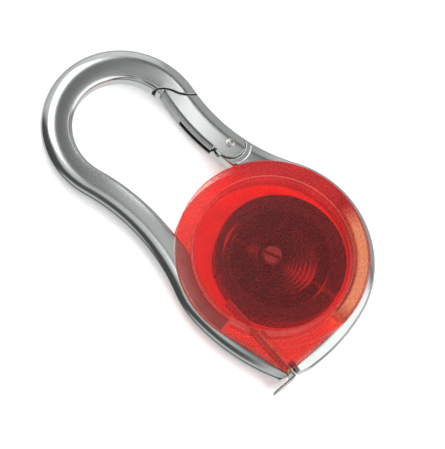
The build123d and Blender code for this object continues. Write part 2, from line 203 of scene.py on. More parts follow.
# Colours of the painted glow on the plastic's upright faces, of the painted reflection on the rim
# and of the painted highlight on the drum's wall
SIDE_GLOW_RED = (0.95, 0.075, 0.050, 1)
LEDGE_REFLECTION_RED = (1.0, 0.40, 0.20, 1)
WALL_HIGHLIGHT_RED = (1.0, 0.22, 0.12, 1)
# Tint of the light that comes through the rim where it has painted shade
DEEP_SHADE_TINT = (0.98, 0.45, 0.45, 1)


def marks_on_case(tree):
    """Distance from the case's axis, and the shares of rim, painted reflection, painted shade and
    the drum wall's painted highlight.
    """
    where = node(tree, "TexCoord").outputs["Object"]
    flat = vector_calc(tree, "MULTIPLY", "Vector", where, (1, 1, 0))
    reach = vector_calc(tree, "LENGTH", "Value", flat)
    outward = vector_calc(tree, "NORMALIZE", "Vector", flat)
    towards = []
    for direction, cosines in ((WARM_SIDE, WARM_COSINES), (DEEP_SIDE, DEEP_COSINES)):
        cosine = vector_calc(tree, "DOT_PRODUCT", "Value", outward, (*polar(1, direction), 0))
        towards.append(clamped(tree, cosine, *cosines))
    rim = clamped(tree, reach, *RIM_IN)
    band = times(tree, clamped(tree, reach, *WARM_IN), clamped(tree, reach, *WARM_OUT))
    ledge_reflection = times(tree, towards[0], band)
    deep_shade = times(tree, towards[1], clamped(tree, reach, *DEEP_IN))
    wall_highlight = times(tree, clamped(tree, reach, *WALL_IN), clamped(tree, reach, *WALL_OUT))
    return reach, rim, ledge_reflection, deep_shade, wall_highlight


def red_plastic(name, tint, rim_tint, haze, body, painted_glow):
    """Frosted red plastic: faces let tinted light through, with a haze of specks; upright faces
    get a painted glow.

    The rim outside the drum has its own, lighter tint, a painted orange reflection of the lit
    metal under it on the side of the mouth, and painted shade, deeper red, on the side of the
    gate's arm. The drum's wall gets a painted highlight, and an emission paints a glow that stands
    in for light caught inside the plastic."""
    mat, tree, shader = principled(name, IOR=PLASTIC_IOR)
    speck = noise(tree, SPECKS, 2)
    cloud = noise(tree, CLOUDS, 2)
    reach, rim, ledge_reflection, deep_shade, wall_highlight = marks_on_case(tree)
    normal = node(tree, "NewGeometry").outputs["Normal"]
    level = calc(tree, "ABSOLUTE", node(tree, "SeparateXYZ", {"Vector": normal}).outputs["Z"], 0.0)
    # Painted glow: upright faces, where light piped through the plastic's edges would show, are
    # made a stronger red and less clear
    upright = clamped(tree, level, 0.95, 0.45)

    shaded = tuple(0.85 * c for c in body)
    color = blended(tree, upright, tinted(tree, cloud, shaded, body), SIDE_GLOW_RED)
    # Painted reflection: an orange band on the rim on the mouth's side, standing in for the lit
    # metal ledge seen through it
    color = blended(tree, ledge_reflection, color, LEDGE_REFLECTION_RED)
    # Painted highlight: an orange line along the drum's wall
    color = blended(tree, times(tree, wall_highlight, 0.6), color, WALL_HIGHLIGHT_RED)
    tree.links.new(color, shader.inputs["Base Color"])
    tree.links.new(spread(tree, speck, 0.26, 0.38), shader.inputs["Roughness"])
    relief = raised(tree, speck, 0.01 * MM).outputs[0]
    tree.links.new(relief, shader.inputs["Normal"])

    # What fills the plastic: light scattered through it and off it, and a painted glow from an
    # emission
    through = node(tree, "BsdfTranslucent", {"Color": color}).outputs[0]
    scattered = node(tree, "MixShader", {0: 0.42, 1: through, 2: shader.outputs[0]}).outputs[0]
    # Painted glow: an emission stands in for light caught inside the plastic, faded out near the
    # axis as painted shade under the pack
    strength = times(tree, clamped(tree, reach, *PAINTED_GLOW_IN), painted_glow)
    painted_glow_emission = node(tree, "Emission", {"Color": color, "Strength": strength}).outputs[0]
    hazy = node(tree, "AddShader", {0: scattered, 1: painted_glow_emission}).outputs[0]

    # How much of it hides what lies behind
    share = spread(tree, speck, *haze, 0.42, 0.62)
    # Painted light makes the plastic less clear: the glow of upright faces, the reflection on the
    # rim, the shade on the gate arm's side and the highlight on the drum's wall
    for mark, weight in ((upright, 0.40), (ledge_reflection, 0.70), (deep_shade, 0.50), (wall_highlight, 0.35)):
        share = calc(tree, "ADD", share, times(tree, mark, weight))
    filtered = blended(tree, rim, (*tint, 1), (*rim_tint, 1))
    # Painted shade: on the gate arm's side the light through the rim is tinted deeper red
    filtered = blended(tree, deep_shade, filtered, DEEP_SHADE_TINT)
    clear = node(tree, "BsdfTransparent", {"Color": filtered}).outputs[0]
    inside = node(tree, "MixShader", {0: share, 1: clear, 2: hazy}).outputs[0]

    gloss = node(tree, "BsdfGlossy", {"Roughness": 0.30, "Normal": relief}).outputs[0]
    mirrored = times(tree, node(tree, "Fresnel", {"IOR": PLASTIC_IOR}).outputs[0], 0.8)
    surface = node(tree, "MixShader", {0: mirrored, 1: inside, 2: gloss}).outputs[0]
    tree.links.new(surface, tree.nodes["Material Output"].inputs["Surface"])
    return mat


satin = grained(
    "cast_metal", (0.605, 0.63, 0.617), (0.635, 0.66, 0.647), 2600, (0.176, 0.180), 0.0001 * MM,
    metallic=1.0, edge=0.25 * MM,
)
strip_metal = grained(
    "gate_strip", (0.36, 0.37, 0.36), (0.43, 0.44, 0.43), 3000, (0.26, 0.34), 0.004 * MM,
    metallic=1.0,
)
# Painted shade: near-black, dull metal for the faces of the joint between nose and gate, standing
# in for the shade in that narrow gap
joint_shade_metal = grained(
    "cast_metal_joint_shade", (0.02, 0.021, 0.021), (0.035, 0.036, 0.036), 2200, (0.45, 0.6), 0.004 * MM,
    metallic=1.0,
)
steel = grained(
    "plated_steel", (0.50, 0.49, 0.46), (0.60, 0.59, 0.56), 2600, (0.22, 0.34), 0.003 * MM,
    metallic=1.0,
)
spring_steel = grained(
    "spring_steel", (0.035, 0.030, 0.028), (0.07, 0.058, 0.055), 2200, (0.30, 0.48), 0.004 * MM,
    metallic=1.0,
)
coated = grained(
    "coated_tape", (0.10, 0.10, 0.10), (0.15, 0.145, 0.14), 2400, (0.40, 0.60), 0.006 * MM,
    metallic=0.3,
)
brass = grained(
    "rivet_brass", (0.55, 0.40, 0.16), (0.66, 0.50, 0.22), 2600, (0.25, 0.38), 0.003 * MM,
    metallic=1.0,
)
dark_plastic = grained(
    "dark_plastic", (0.075, 0.072, 0.070), (0.11, 0.105, 0.10), 3000, (0.40, 0.60), 0.008 * MM,
)
front_red = red_plastic(
    "clear_red_front", tint=(0.99, 0.64, 0.63), rim_tint=(0.99, 0.84, 0.81), haze=(0.00, 0.40),
    body=(0.95, 0.038, 0.044), painted_glow=0.06,
)
rear_red = red_plastic(
    "clear_red_rear", tint=(0.99, 0.51, 0.50), rim_tint=(0.985, 0.72, 0.64), haze=(0.30, 0.42),
    body=(0.98, 0.018, 0.024), painted_glow=0.52,
)


# ---------------------------------------------------------------- mesh helpers
# Half the height of a cutter that goes right through a casting, in mm
THROUGH = 4.0


def solid(name, points, faces):
    """Object from points and faces, with its normals made consistent and outward."""
    mesh = bpy.data.meshes.new(name)
    mesh.from_pydata([tuple(p) for p in points], [], faces)
    made = bmesh.new()
    made.from_mesh(mesh)
    bmesh.ops.recalc_face_normals(made, faces=made.faces)
    made.to_mesh(mesh)
    made.free()
    piece = bpy.data.objects.new(name, mesh)
    bpy.context.scene.collection.objects.link(piece)
    return piece


def swept(name, rows):
    """Closed tube through rows of points, each row once round the section, with flat ends."""
    around = len(rows[0])
    faces = [tuple(range(around)), tuple(range((len(rows) - 1) * around, len(rows) * around))]
    for k in range(len(rows) - 1):
        for j in range(around):
            a, b = k * around + j, k * around + (j + 1) % around
            faces.append((a, b, b + around, a + around))
    return solid(name, [p for row in rows for p in row], faces)


def prism(outline, low=-THROUGH, high=THROUGH):
    """Straight block over an outline."""
    return swept("cutter", [[(*p, z) for p in outline] for z in (low, high)])


def carve(piece, operation, cutters):
    """Cut or add cutters to a piece one after the other, and remove them."""
    for cutter in cutters:
        step = piece.modifiers.new("cut", "BOOLEAN")
        step.operation = operation
        step.solver = "EXACT"
        step.object = cutter
        graph = bpy.context.evaluated_depsgraph_get()
        mesh = bpy.data.meshes.new_from_object(piece.evaluated_get(graph))
        piece.modifiers.clear()
        piece.data = mesh
        bpy.data.objects.remove(cutter)


def finished(piece, mat, sharp=40):
    """Scale a piece from mm, shade it smooth between its sharp edges, and give it a material."""
    mesh = piece.data
    mesh.transform(Matrix.Scale(MM, 4))
    mesh.materials.clear()
    mesh.materials.append(mat)
    mesh.polygons.foreach_set("use_smooth", [True] * len(mesh.polygons))
    mesh.set_sharp_from_angle(angle=math.radians(sharp))
    return piece


# ---------------------------------------------------------------- plan of the castings, in mm
# Circles about the case's axis: outer edge of the ring, and the castings' bore
RING, BORE = 24.8, 19.3
# Outer circle of the hook, and the hole through it
HOOK_C, HOOK_R, HOLE_R = Vector((2.2, 46.0)), 19.7, 12.1
# The two necks between hook and ring: radius of the outer edge, and width of the bar
SPINE_R, SPINE_W = 46.5, 7.1
GATE_R, GATE_W = 41.5, 7.8
# The corner where both arms would meet in the mouth, and the radius of their bowed edges
MOUTH_ANGLE, CORNER, BOW_R = 225.0, 30.4, 48.0
# Pivot of the gate
PIN = Vector((15.3, 24.7))
# Height of the castings' middle, and half their thickness
MID, HALF = 3.85, 2.28
# Section of the bar: width of its outer rounding, power of that rounding, and steps along it
ROUND_OUT, ROUND_POWER = 3.8, 2.4
OUTER_STEPS, INNER_STEPS = 24, 9
# Rounding of the inner edge: along the bore, and how far outside the bore it grows to its full
BORE_ROUNDING, GROWS_OVER = 0.05, 5
# The straight run of tape: its direction, and the place where it leaves the mouth
BLADE_ANGLE = 80.327
MOUTH = Vector((-19.1, -21.7))


def heading(point, centre=(0, 0)):
    """Direction in degrees from a centre to a point, from 0 to 360."""
    return math.degrees(math.atan2(point[1] - centre[1], point[0] - centre[0])) % 360


def neck_centre(radius, side):
    """Centre of the arc that touches the hook's and the ring's circles from outside."""
    span = HOOK_C.length
    to_case, to_hook = RING + radius, HOOK_R + radius
    along = (to_case**2 - to_hook**2 + span**2) / (2 * span)
    across = side * math.sqrt(to_case**2 - along**2)
    u = HOOK_C / span
    return Vector((u.x * along - u.y * across, u.y * along + u.x * across))


SPINE_C = neck_centre(SPINE_R, 1)
GATE_C = neck_centre(GATE_R, -1)
SPINE_IN = SPINE_R + SPINE_W
GATE_IN = GATE_R + GATE_W
HOLE_C = SPINE_C + (HOOK_C - SPINE_C).normalized() * (SPINE_IN + HOLE_R)


def arc(centre, radius, start, end, step=0.4):
    """Points along an arc from one direction to another."""
    count = max(2, round(abs(math.radians(end - start)) * radius / step))
    return [polar(radius, start + (end - start) * k / count, centre) for k in range(count + 1)]


def meet(centre, radius, other, other_radius):
    """The upper of the two points where two circles cross."""
    gap = other - centre
    along = (radius**2 - other_radius**2 + gap.length**2) / (2 * gap.length)
    across = math.sqrt(radius**2 - along**2)
    u = gap.normalized()
    both = [centre + u * along + Vector((-u.y, u.x)) * across * side for side in (-1, 1)]
    return max(both, key=lambda p: p.y)


def bow(side):
    """Centre of a bowed arm's edge and the direction where it leaves the ring."""
    reach = BOW_R - RING
    touch = math.degrees(math.acos((BOW_R**2 - CORNER**2 - reach**2) / (2 * CORNER * reach)))
    return polar(reach, MOUTH_ANGLE + 180 + side * touch), MOUTH_ANGLE + side * touch


def outer_line():
    """Closed outer edge, anticlockwise from the foot of the gate's neck, and its mouth corner."""
    left_c, left_turn = bow(-1)
    right_c, right_turn = bow(1)
    corner = polar(CORNER, MOUTH_ANGLE)
    line = arc(GATE_C, GATE_R, heading(-GATE_C), heading(HOOK_C, GATE_C))[:-1]
    line += arc(HOOK_C, HOOK_R, heading(GATE_C, HOOK_C) - 360, heading(SPINE_C, HOOK_C))[:-1]
    line += arc(SPINE_C, SPINE_R, heading(HOOK_C, SPINE_C), heading(-SPINE_C) - 360)[:-1]
    line += arc((0, 0), RING, heading(SPINE_C), left_turn)[:-1]
    line += arc(left_c, BOW_R, left_turn, heading(corner, left_c))[:-1]
    at_corner = len(line)
    line += arc(right_c, BOW_R, heading(corner, right_c), right_turn)[:-1]
    line += arc((0, 0), RING, right_turn, heading(GATE_C) + 360)[:-1]
    return line, at_corner


def inner_line():
    """Closed inner edge: round the loop, and along the case's bore below it."""
    centre = Vector((0, 0))
    gate_foot = meet(centre, BORE, GATE_C, GATE_IN)
    spine_foot = meet(centre, BORE, SPINE_C, SPINE_IN)
    spine_end = heading(spine_foot, SPINE_C) - 360
    line = arc(GATE_C, GATE_IN, heading(gate_foot, GATE_C), heading(HOLE_C, GATE_C))
    line += arc(HOLE_C, HOLE_R, heading(GATE_C, HOLE_C) - 360, heading(SPINE_C, HOLE_C))
    line += arc(SPINE_C, SPINE_IN, heading(HOLE_C, SPINE_C), spine_end)[1:]
    line += arc((0, 0), BORE, heading(spine_foot), heading(gate_foot) + 360)[1:]
    return line


def bar_widths(outer, inner, shortest=0.5, slack=0.001):
    """Inward direction at each outer point, and the distance to the inner edge that way."""
    o = np.array([tuple(p) for p in outer])
    i = np.array([tuple(p) for p in inner])
    along = np.roll(o, -1, 0) - np.roll(o, 1, 0)
    along /= np.linalg.norm(along, axis=1)[:, None]
    inward = np.c_[-along[:, 1], along[:, 0]]
    start = i[:-1]
    run = i[1:] - start
    gap = start[None] - o[:, None]
    cross = inward[:, None, 0] * run[None, :, 1] - inward[:, None, 1] * run[None, :, 0]
    reach = (gap[..., 0] * run[None, :, 1] - gap[..., 1] * run[None, :, 0]) / cross
    share = (gap[..., 0] * inward[:, None, 1] - gap[..., 1] * inward[:, None, 0]) / cross
    hit = (share >= -slack) & (share <= 1 + slack) & (reach > shortest)
    return o, inward, np.where(hit, reach, np.inf).min(1)


def section(width, round_in):
    """Once round the bar's section: distance in from the outer edge, height above the middle."""
    half = []
    for k in range(OUTER_STEPS + 1):
        turn = math.radians(90 * k / OUTER_STEPS)
        out, rise = (c ** (2 / ROUND_POWER) for c in (math.cos(turn), math.sin(turn)))
        half.append((ROUND_OUT * (1 - out), HALF * rise))
    for k in range(INNER_STEPS + 1):
        turn = math.radians(90 * k / INNER_STEPS)
        inwards = width - round_in + round_in * math.sin(turn)
        half.append((inwards, HALF - round_in * (1 - math.cos(turn))))
    return half + [(u, -z) for u, z in reversed(half[1:])]


OUTER, AT_CORNER = outer_line()
EDGE, INWARD, WIDTH = bar_widths(OUTER, inner_line())


def bar(name, start, end, inner_rounding):
    """A length of the casting, swept along its outer edge."""
    rows = []
    for k in range(start, end + 1):
        j = k % len(EDGE)
        inner_point = EDGE[j] + INWARD[j] * WIDTH[j]
        clear = min(1, max(0, (np.hypot(*inner_point) - BORE) / GROWS_OVER))
        share = clear * clear * (3 - 2 * clear)
        shape = section(WIDTH[j], BORE_ROUNDING + (inner_rounding - BORE_ROUNDING) * share)
        rows.append([(*(EDGE[j] + INWARD[j] * u), z) for u, z in shape])
    return swept(name, rows)


def near(x, y):
    """Index of the outer point nearest to a place."""
    return int(np.argmin(np.hypot(EDGE[:, 0] - x, EDGE[:, 1] - y)))


# ---------------------------------------------------------------- cutters of the castings, in mm
# The joint between nose and gate: ends and middles of its two arcs
JOINT = ((11.6, 47.1), (15.2, 45.5), (16.7, 42.8), (17.6, 40.7), (23.0, 37.6))
# How far from that line, towards the gate, the nose ends and the gate begins
NOSE_END, GATE_END = -0.07, 0.36
# The joint's faces that get painted shade: they are upright and lie this near to a line between
# both ends
JOINT_MIDDLE, JOINT_NEAR, UPRIGHT = 0.15, 0.5, 0.2
# Sides of a box round the gate, and the corner where the gate's inner face steps in
GATE_LEFT, GATE_RIGHT = 9, 23
GATE_STEP = 28.95
# The case's beak: circle, corner of its straight sides, cut tip, and how far the room goes round
BEAK_R, BEAK_CORNER, BEAK_TIP = 22.84, 28.8, 26.7
BEAK_START, BEAK_END = 186, 268
# The cut ends of both arms: direction they face, and distance from the case's axis
END_FACING, END_REACH, END_SIZE = 243, 27.7, 20
# The gap between the arms: how far it runs out of the mouth and into it, and its half width
GAP_OUT, GAP_IN, GAP_HALF, GAP_SIZE = -10, 12, 1.6, 12
# The gate's knuckle, the room for it in the arm, and the shallow step round it in both faces
KNUCKLE_R, KNUCKLE_TURN, KNUCKLE_ROOM = 3.6, -214, 3.85
STEP_R, STEP_DEPTH = 5.1, 0.5
# The arm's tongue in the knuckle's fork, and the pin's hole in each
TONGUE_R, TONGUE_FOOT, TONGUE_HALF = 3.0, 7.2, 0.8
FORK_SIDE, FORK_FOOT, FORK_TOP, FORK_HALF = 7, 10.4, 3.6, 0.95
PIN_HOLE_ARM, PIN_HOLE_GATE = 0.95, 1.01
# Rooms in the gate's inner face, for its strip and for the leaf: depth, and heights over the pin
STRIP_ROOM, LEAF_ROOM, LEAF_HALF = (1.0, 2.5, 20.0), (3.2, 0, 12.5), 0.95
# Step along the small arcs round the pin
PIN_STEP = 0.3
# Full rounding of the bar's inner edge, on the frame and on the gate
FRAME_ROUNDING, GATE_ROUNDING = 1.2, 0.5
# Places beside the outer edge: where the two castings' bars meet, cut away later for the gate,
# and between which the gate's own bar runs
CASTINGS_MEET, GATE_FROM, GATE_TO = (21, 32), (21, 17), (19, 56)


def three_point_arc(a, b, c, count=12):
    """Points of the arc through three points."""
    (ax, ay), (bx, by), (cx, cy) = a, b, c
    det = 2 * (ax * (by - cy) + bx * (cy - ay) + cx * (ay - by))
    sa, sb, sc = ax * ax + ay * ay, bx * bx + by * by, cx * cx + cy * cy
    centre = Vector((
        (sa * (by - cy) + sb * (cy - ay) + sc * (ay - by)) / det,
        (sa * (cx - bx) + sb * (ax - cx) + sc * (bx - ax)) / det,
    ))
    radius = (Vector(a) - centre).length
    start, end = heading(a, centre), heading(c, centre)
    turn = (end - start + 180) % 360 - 180
    return [polar(radius, start + turn * k / count, centre) for k in range(count + 1)]


def s_joint(gap):
    """The joint between nose and gate, moved towards the gate by a gap."""
    line = three_point_arc(*JOINT[:3]) + three_point_arc(*JOINT[2:])[1:]
    moved = []
    for k, p in enumerate(line):
        along = (line[min(k + 1, len(line) - 1)] - line[max(k - 1, 0)]).normalized()
        moved.append(p + Vector((along.y, -along.x)) * gap)
    return moved


def on_blade(along, aside):
    """Point beside the straight run of tape, from the mouth."""
    lengthways = polar(1, BLADE_ANGLE)
    return MOUTH + lengthways * along + Vector((-lengthways.y, lengthways.x)) * aside


def mouth_gap(low, high):
    """Room along the straight run of tape, between two distances to its side."""
    corners = ((GAP_OUT, low), (GAP_IN, low), (GAP_IN, high), (GAP_OUT, high))
    return prism([on_blade(*c) for c in corners])


def beak_room():
    """Room for the case's beak between the two arms."""
    touch = math.degrees(math.acos(BEAK_R / BEAK_CORNER))
    facing = polar(1, END_FACING)
    point = polar(BEAK_CORNER, MOUTH_ANGLE)
    cut = []
    for side in (-1, 1):
        foot = polar(BEAK_R, MOUTH_ANGLE + side * touch)
        share = (BEAK_TIP - foot.dot(facing)) / ((point - foot).dot(facing))
        cut.append(foot + (point - foot) * share)
    outline = [Vector((0, 0))] + arc((0, 0), BEAK_R, BEAK_START, MOUTH_ANGLE - touch) + cut
    outline += arc((0, 0), BEAK_R, MOUTH_ANGLE + touch, BEAK_END)
    return prism(outline)


def mouth_face():
    """Everything beyond the cut ends of the arms."""
    facing = polar(1, END_FACING)
    foot, beyond = facing * END_REACH, facing * END_SIZE
    aside = Vector((-facing.y, facing.x)) * END_SIZE
    return prism([foot - aside, foot + beyond - aside, foot + beyond + aside, foot + aside])


def disc(radius, low=-THROUGH, high=THROUGH):
    """Round block about the gate's pin."""
    return prism(arc(PIN, radius, 0, 360, PIN_STEP)[:-1], low, high)


def gate_room():
    """Room for the gate between the hook's nose and the pin."""
    box = [(GATE_RIGHT, PIN.y), (GATE_LEFT, PIN.y), (GATE_LEFT, JOINT[0][1])]
    return prism(s_joint(NOSE_END) + [Vector(c) for c in box])


def gate_band(depth, low, high):
    """Outline along the gate's inner face, between two heights over the pin, to a depth."""
    reach = GATE_IN - depth
    heights = (PIN.y + y - GATE_C.y for y in (low, high))
    line = arc(GATE_C, reach, *(180 - math.degrees(math.asin(y / reach)) for y in heights))
    return line + [Vector((5, line[-1].y)), Vector((5, line[0].y))]


# ---------------------------------------------------------------- castings
def make_hook():
    """Hook, spine and left arm."""
    piece = bar("hook_casting", near(*CASTINGS_MEET), AT_CORNER - 1, FRAME_ROUNDING)
    cutters = [gate_room(), beak_room(), mouth_face(), mouth_gap(-GAP_SIZE, GAP_HALF)]
    carve(piece, "DIFFERENCE", cutters)
    return piece


def make_arm():
    """Gate's pivot, right side of the ring and right arm."""
    piece = bar("arm_casting", AT_CORNER + 1, len(EDGE) + near(*CASTINGS_MEET), FRAME_ROUNDING)
    step = HALF - STEP_DEPTH
    cutters = [
        gate_room(), disc(KNUCKLE_ROOM), disc(STEP_R, low=step), disc(STEP_R, high=-step),
        beak_room(), mouth_face(), mouth_gap(-GAP_HALF, GAP_SIZE),
    ]
    carve(piece, "DIFFERENCE", cutters)
    tongue = arc(PIN, TONGUE_R, 0, 180, PIN_STEP)
    tongue += [PIN + Vector((side * TONGUE_R, -TONGUE_FOOT)) for side in (-1, 1)]
    carve(piece, "UNION", [prism(tongue, -TONGUE_HALF, TONGUE_HALF)])
    carve(piece, "DIFFERENCE", [disc(PIN_HOLE_ARM)])
    return piece


def make_gate():
    """Gate, with its forked knuckle and the rooms for its strip and its leaf."""
    piece = bar("gate_casting", near(*GATE_FROM), near(*GATE_TO), GATE_ROUNDING)
    outline = s_joint(GATE_END) + [Vector((GATE_RIGHT, PIN.y)), polar(KNUCKLE_R, 0, PIN)]
    outline += arc(PIN, KNUCKLE_R, 0, KNUCKLE_TURN, PIN_STEP)[1:]
    outline += [Vector((GATE_LEFT, GATE_STEP)), Vector((GATE_LEFT, JOINT[0][1]))]
    carve(piece, "INTERSECT", [prism(outline)])
    left, right, foot, top = -FORK_SIDE, FORK_SIDE, -FORK_FOOT, FORK_TOP
    fork = [PIN + Vector(c) for c in ((left, foot), (right, foot), (right, top), (left, top))]
    cutters = [
        prism(gate_band(*STRIP_ROOM)), prism(gate_band(*LEAF_ROOM), -LEAF_HALF, LEAF_HALF),
        prism(fork, -FORK_HALF, FORK_HALF), disc(PIN_HOLE_GATE),
    ]
    carve(piece, "DIFFERENCE", cutters)
    return piece


def paint_joint_shade(piece):
    """Painted shade: near-black, dull metal on the two faces that meet at the joint between nose
    and gate, standing in for the shade in that narrow gap.
    """
    piece.data.materials.append(joint_shade_metal)
    line = [p * MM for p in s_joint(JOINT_MIDDLE)[2:]]
    for face in piece.data.polygons:
        beside = min(math.hypot(face.center.x - p.x, face.center.y - p.y) for p in line)
        if abs(face.normal.z) < UPRIGHT and beside < JOINT_NEAR * MM:
            face.material_index = 1


def make_castings():
    """The frame's two castings and the gate."""
    for casting, body, cad in (
        (make_hook(), "case", "hook_frame"),
        (make_arm(), "case", "gate_arm"),
        (make_gate(), "gate", "gate"),
    ):
        casting.data.transform(Matrix.Translation((0, 0, MID)))
        finished(casting, satin, sharp=28)
        paint_joint_shade(casting)
        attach(casting, body)
        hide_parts(cad)


# Profile of the pin's upper half, radius and height in mm: a low dome with a dished middle
PIN_PROFILE = [
    (1.0, 0), (1.0, 2.22), (1.12, 2.28), (1.12, 2.40), (1.02, 2.52), (0.80, 2.58), (0.55, 2.50),
    (0.25, 2.28), (0.05, 2.24),
]


def make_rivet():
    """Gate's pin, set at both ends."""
    profile = [(r, -z) for r, z in reversed(PIN_PROFILE)] + PIN_PROFILE[1:]
    rows = []
    for r, z in profile:
        rows.append([(*p, MID + z) for p in arc(PIN, r, 0, 360, 0.15 * r)[:-1]])
    piece = finished(swept("set_pin", rows), steel, sharp=28)
    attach(piece, "case")
    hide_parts("gate_pin")


# ---------------------------------------------------------------- tape and springs, in mm
# Axis of the wound tape and spring, a little off the case's own
PACK = Vector((0.7, -1.95))
# Width of the tape, its thickness as wound, and the radius where it leaves the pack
TAPE_WIDE, TAPE_THICK, LEAVES_PACK = 5.0, 0.21, 15.8
# Thickness of the spring, and its width in the tight turns and in the loose ones
SPRING_THICK, SPRING_WIDE, LOOSE_WIDE = 0.13, 4.6, 4.5
# Windings: first and last radius, and number of turns
TAPE_TURNS, SPRING_TURNS = (11.9, 15.7, 11.4), (8.8, 11.65, 12.6)
STEPS_PER_TURN = 90
# The gap in the wound tape: after which turn, how wide, and on which side
TAPE_GAP = {"gap_turn": 4.0, "gap": 0.75}
TAPE_GAP_SIDE = 108
# Tang of the spring: direction across the arbor, half its length, thickness and width
TANG_SIDE, TANG_HALF, TANG_THICK, TANG_WIDE = 107, 1.95, 0.55, 4.4
# Inner turns of the spring: number, steps, and share of them that lies close round the arbor
INNER_TURNS, INNER_TURN_STEPS = 14, 1260
CLOSE_SHARE, LOOSE_SHARE = 0.36, 0.64
# Their first radius, what it gains over the close turns and over the loose ones, and their sway
INNER_START, CLOSE_GAIN, LOOSE_GAIN = 2.4, 0.85, 5.35
SWAY = polar(1.1, 128)
# Travel of the end hook, in metres
TRAVEL = 0.9495
# Gate's leaf spring: its root, its bend, its tip, thickness and width
LEAF_LINE = ((12.4, 26.2), (13.3, 30.0), (14.6, 36.4))
LEAF_THICK, LEAF_WIDE = 0.3, 1.2


def ribbon(name, line, thickness, height):
    """Upright strip that follows a line on the plan, with slightly rounded long edges."""
    p = np.array([tuple(c) for c in line])
    along = np.gradient(p, axis=0)
    along /= np.linalg.norm(along, axis=1)[:, None]
    aside = np.c_[-along[:, 1], along[:, 0]]
    half, top = thickness / 2, height / 2
    shoulder = top - half
    ring = [(-half, -shoulder), (0, -top), (half, -shoulder), (half, shoulder), (0, top)]
    ring.append((-half, shoulder))
    rows = [[(*(c + n * u), MID + z) for u, z in ring] for c, n in zip(p, aside)]
    return swept(name, rows)


def winding(inner, outer, turns, gap_turn=None, gap=0.0):
    """Spiral about the pack's axis; one gap between turns may open on the side of the spine."""
    line = []
    for k in range(round(turns * STEPS_PER_TURN) + 1):
        turn = k / STEPS_PER_TURN
        angle = 360 * turn
        reach = inner + (outer - inner - gap) * turn / turns
        if gap_turn is not None:
            open_side = max(0.0, math.cos(math.radians(angle - TAPE_GAP_SIDE))) ** 3
            past = min(1, max(0, (turn - gap_turn) * 3 + 0.5))
            room = 1 - 0.5 * max(0, turn - gap_turn) / (turns - gap_turn)
            reach += gap * (past * open_side * room + (1 - open_side) * turn / turns)
        line.append(polar(reach, angle, PACK))
    return line


def make_windings():
    """Wound tape, and the tight turns of the spring inside it."""
    tape = ribbon("wound_tape", winding(*TAPE_TURNS, **TAPE_GAP), TAPE_THICK, TAPE_WIDE)
    spring = ribbon("wound_spring", winding(*SPRING_TURNS), SPRING_THICK, SPRING_WIDE)
    for piece, mat, cad, slot in (
        (tape, coated, "tape_coil", "coated_tape"),
        (spring, spring_steel, "mainspring", "spring_steel"),
    ):
        finished(piece, mat)
        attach(piece, "reel")
        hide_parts(cad)


def make_loose_turns():
    """Inner end of the spring: a tang across the arbor, close turns round it, then loose ones."""
    tang = [polar(reach, TANG_SIDE) for reach in (-TANG_HALF, -1, 0, 1, TANG_HALF)]
    line = []
    for k in range(INNER_TURN_STEPS + 1):
        t = k / INNER_TURN_STEPS
        out = max(0.0, (t - CLOSE_SHARE) / LOOSE_SHARE)
        reach = INNER_START + CLOSE_GAIN * min(1.0, t / CLOSE_SHARE) + LOOSE_GAIN * out
        centre = PACK * out + SWAY * math.sin(math.pi * out)
        line.append(polar(reach, TANG_SIDE + 360 * INNER_TURNS * t, centre))
    for piece in (
        ribbon("spring_tang", tang, TANG_THICK, TANG_WIDE),
        ribbon("loose_turns", line, SPRING_THICK, LOOSE_WIDE),
    ):
        finished(piece, spring_steel)
        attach(piece, "case")
        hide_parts("mainspring_inner_turns")


def make_graduated():
    """Enamelled tape: pale cream darkened as painted shade, with plain lines every millimetre,
    longer at five and at ten.
    """
    # Painted shade: the enamel's cream is darkened, standing in for the shade on the tape's
    # upright side
    mat = grained(
        "graduated_tape", (0.44, 0.40, 0.31), (0.50, 0.46, 0.36), 2600, (0.30, 0.42), 0.004 * MM,
    )
    tree = mat.node_tree
    shader = tree.nodes["Principled BSDF"]
    shaded_enamel = shader.inputs["Base Color"].links[0].from_socket
    where = node(tree, "TexCoord").outputs["Object"]
    along = vector_calc(tree, "DOT_PRODUCT", "Value", where, (*polar(1, BLADE_ANGLE), 0))
    height = node(tree, "SeparateXYZ", {"Vector": where}).outputs["Z"]
    ink = 0.0
    # Each kind of line: its period, its thickness, and how far up it reaches, in mm
    for period, thickness, reach in ((1, 0.22, 1.3), (5, 0.22, 2.1), (10, 0.28, 3.4)):
        # 950 periods fit the travel, so a line beside the end hook stays there at both limits
        place = calc(tree, "FLOORED_MODULO", along, period * TRAVEL / 950)
        line = calc(tree, "LESS_THAN", place, thickness * MM)
        below = calc(tree, "LESS_THAN", height, (MID - TAPE_WIDE / 2 + reach) * MM)
        ink = calc(tree, "MAXIMUM", times(tree, line, below), ink)
    color = blended(tree, ink, shaded_enamel, (0.02, 0.02, 0.02, 1))
    tree.links.new(color, shader.inputs["Base Color"])
    return mat


def make_blade():
    """Straight run of tape from pack to mouth, hollow across."""
    length = math.sqrt((PACK - MOUTH).length**2 - LEAVES_PACK**2)
    half, hollow, half_thick, steps = TAPE_WIDE / 2, 0.12, 0.1, 140
    rows = []
    for k in range(steps + 1):
        row = []
        for face in (1, -1):
            for j in range(9):
                z = half * (j / 4 - 1) * face
                aside = half_thick * face - hollow * (1 - (z / half) ** 2)
                row.append((*on_blade(length * k / steps, aside), MID + z))
        rows.append(row)
    piece = finished(swept("drawn_tape", rows), make_graduated())
    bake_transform(piece)
    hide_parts("tape_blade")


